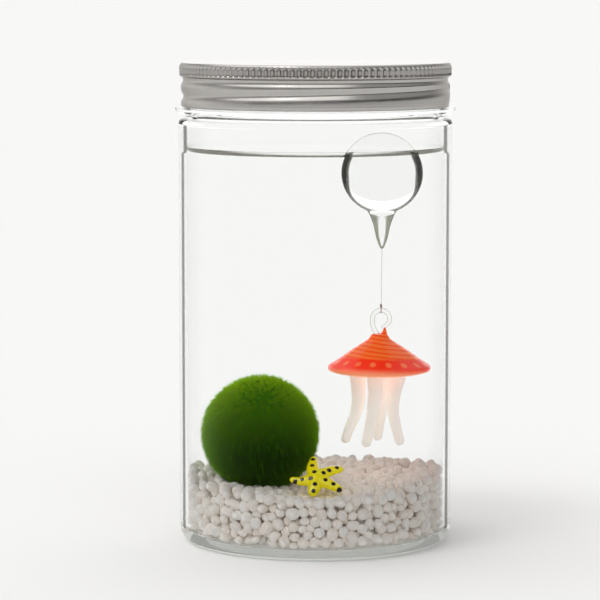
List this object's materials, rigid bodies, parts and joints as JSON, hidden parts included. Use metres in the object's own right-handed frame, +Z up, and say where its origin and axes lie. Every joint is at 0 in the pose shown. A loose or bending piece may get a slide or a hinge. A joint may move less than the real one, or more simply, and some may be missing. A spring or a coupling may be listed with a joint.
{
  "type": "marimo moss ball in a jar",
  "caption": "Round moss ball on white gravel in a water-filled glass jar with a screw lid, a glass starfish and a glass jellyfish hanging from a floating bubble.",
  "frame": {"origin": "centre of the jar's base, on the surface it stands on", "axes": "+Z up along the jar's axis, -Y towards the front, where the starfish leans on the ball, and +X to the side where the float and jellyfish hang"},
  "size_m": [0.0872, 0.0872, 0.1495],
  "materials": {
    "jar_glass": "gloss",
    "lid_metal": "satin",
    "liner": "matte",
    "gravel": "matte",
    "moss": "matte",
    "yellow_glass": "gloss",
    "float_glass": "gloss",
    "nylon_line": "gloss",
    "eye_glass": "gloss",
    "orange_glass": "gloss",
    "frosted_glass": "satin",
    "water": "gloss"
  },
  "bodies": {
    "jar": {"glass_jar": "jar_glass", "gravel_bed": "gravel", "moss_ball": "moss", "starfish": "yellow_glass", "glass_float": "float_glass", "hanging_line": "nylon_line", "jellyfish_eye": "eye_glass", "jellyfish_bell": "orange_glass", "jellyfish_tentacle_1": "frosted_glass", "jellyfish_tentacle_2": "frosted_glass", "jellyfish_tentacle_3": "frosted_glass", "jellyfish_tentacle_4": "frosted_glass", "water": "water"},
    "liner": {"lid_liner": "liner"},
    "lid": {"screw_lid": "lid_metal"}
  },
  "joints": [
    {"name": "lid_lift", "type": "slide", "parent": "jar", "child": "liner", "axis": [0, 0, 1], "range_m": [0, 0.0076]},
    {"name": "lid_turn", "type": "hinge", "parent": "liner", "child": "lid", "pos_m": [0, 0, 0.1485], "axis": [0, 0, 1], "range_deg": [0, 450]}
  ],
  "couplings": [
    {"joint": "lid_lift", "follows": "lid_turn", "m_per_rad": 0.00095493}
  ]
}
